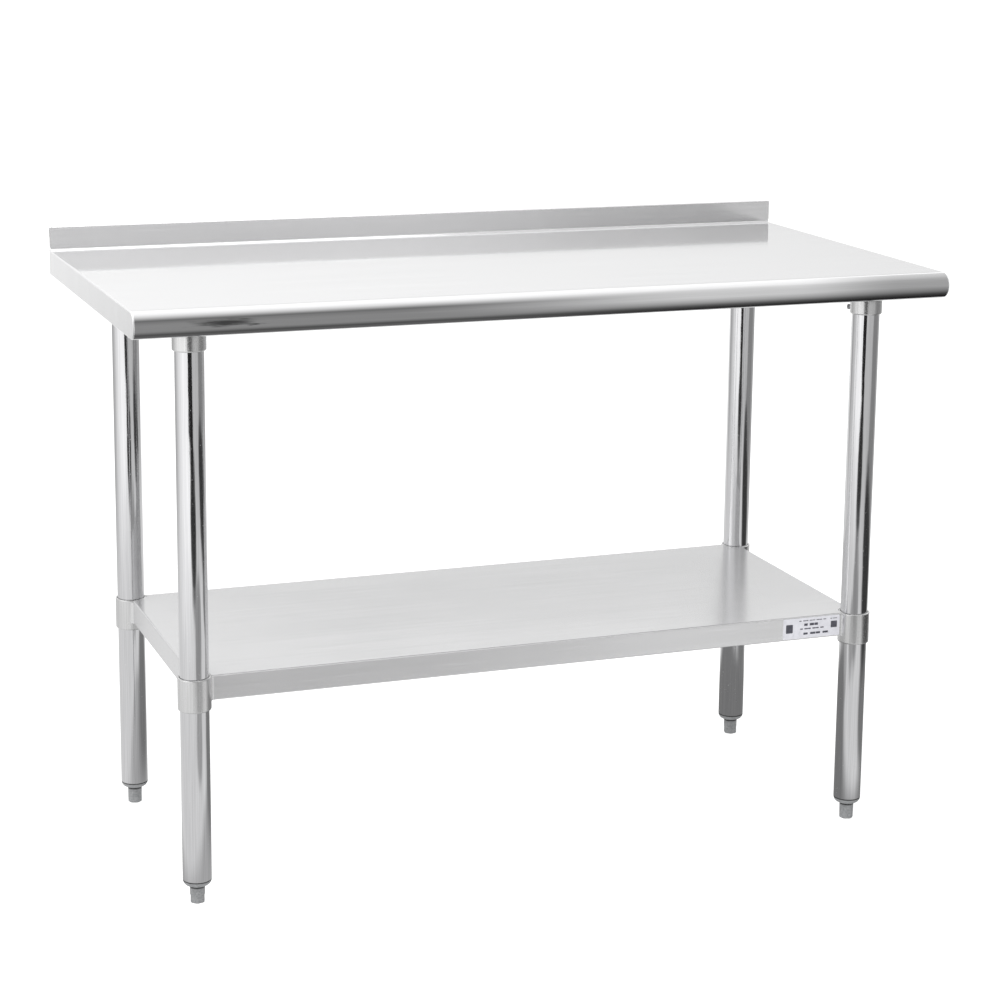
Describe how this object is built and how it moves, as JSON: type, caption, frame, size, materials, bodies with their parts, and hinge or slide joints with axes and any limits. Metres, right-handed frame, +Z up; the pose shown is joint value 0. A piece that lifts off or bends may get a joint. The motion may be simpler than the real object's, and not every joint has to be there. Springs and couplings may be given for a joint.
{
  "type": "work table",
  "caption": "Stainless kitchen work table: a flat top with a rounded front nose and low backsplash, a clamped undershelf, round tube legs and levelling feet.",
  "frame": {"origin": "on the floor, under the centre of the table's outer box", "axes": "+X along the worktop, +Y towards the backsplash, +Z up"},
  "size_m": [1.2192, 0.6095, 0.8996],
  "materials": {
    "worktop_steel": "polished stainless sheet with fine lengthwise grain",
    "shelf_steel": "satin stainless sheet",
    "leg_steel": "bright drawn tube with faint lengthwise lines",
    "ring_steel": "satin, with bright turned edges",
    "galvanised_steel": "galvanised, with a soft spangle",
    "screw_steel": "zinc plated, dark in the hexagon recess",
    "insert_plastic": "moulded grey plastic",
    "foot_plastic": "moulded grey plastic, scuffed at the sole",
    "label_film": "pale metallised sticker"
  },
  "bodies": {
    "table": {"worktop": "worktop_steel", "channel_left": "galvanised_steel", "channel_right": "galvanised_steel", "channel_centre": "galvanised_steel", "leg_socket_front_left": "ring_steel", "leg_socket_front_right": "ring_steel", "leg_socket_back_right": "ring_steel", "leg_socket_back_left": "ring_steel", "socket_screw_front_left": "screw_steel", "socket_screw_front_right": "screw_steel", "socket_screw_back_right": "screw_steel", "socket_screw_back_left": "screw_steel", "leg_front_left": "leg_steel", "leg_front_right": "leg_steel", "leg_back_right": "leg_steel", "leg_back_left": "leg_steel", "foot_insert_front_left": "insert_plastic", "foot_insert_front_right": "insert_plastic", "foot_insert_back_right": "insert_plastic", "foot_insert_back_left": "insert_plastic"},
    "shelf": {"undershelf": "shelf_steel", "undershelf_channel": "galvanised_steel", "shelf_label": "label_film", "shelf_collar_front_left": "ring_steel", "shelf_collar_front_right": "ring_steel", "shelf_collar_back_right": "ring_steel", "shelf_collar_back_left": "ring_steel", "collar_screw_front_left": "screw_steel", "collar_screw_front_right": "screw_steel", "collar_screw_back_right": "screw_steel", "collar_screw_back_left": "screw_steel"},
    "foot_front_left": {"levelling_foot_front_left": "foot_plastic"},
    "foot_front_right": {"levelling_foot_front_right": "foot_plastic"},
    "foot_back_right": {"levelling_foot_back_right": "foot_plastic"},
    "foot_back_left": {"levelling_foot_back_left": "foot_plastic"}
  },
  "joints": [
    {"name": "shelf_slide", "type": "slide", "parent": "table", "child": "shelf", "axis": [0, 0, 1], "range_m": [-0.2, 0.4]},
    {"name": "front_left_foot_thread", "type": "slide", "parent": "table", "child": "foot_front_left", "axis": [0, 0, -1], "range_m": [0, 0.025]},
    {"name": "front_right_foot_thread", "type": "slide", "parent": "table", "child": "foot_front_right", "axis": [0, 0, -1], "range_m": [0, 0.025]},
    {"name": "back_right_foot_thread", "type": "slide", "parent": "table", "child": "foot_back_right", "axis": [0, 0, -1], "range_m": [0, 0.025]},
    {"name": "back_left_foot_thread", "type": "slide", "parent": "table", "child": "foot_back_left", "axis": [0, 0, -1], "range_m": [0, 0.025]}
  ]
}
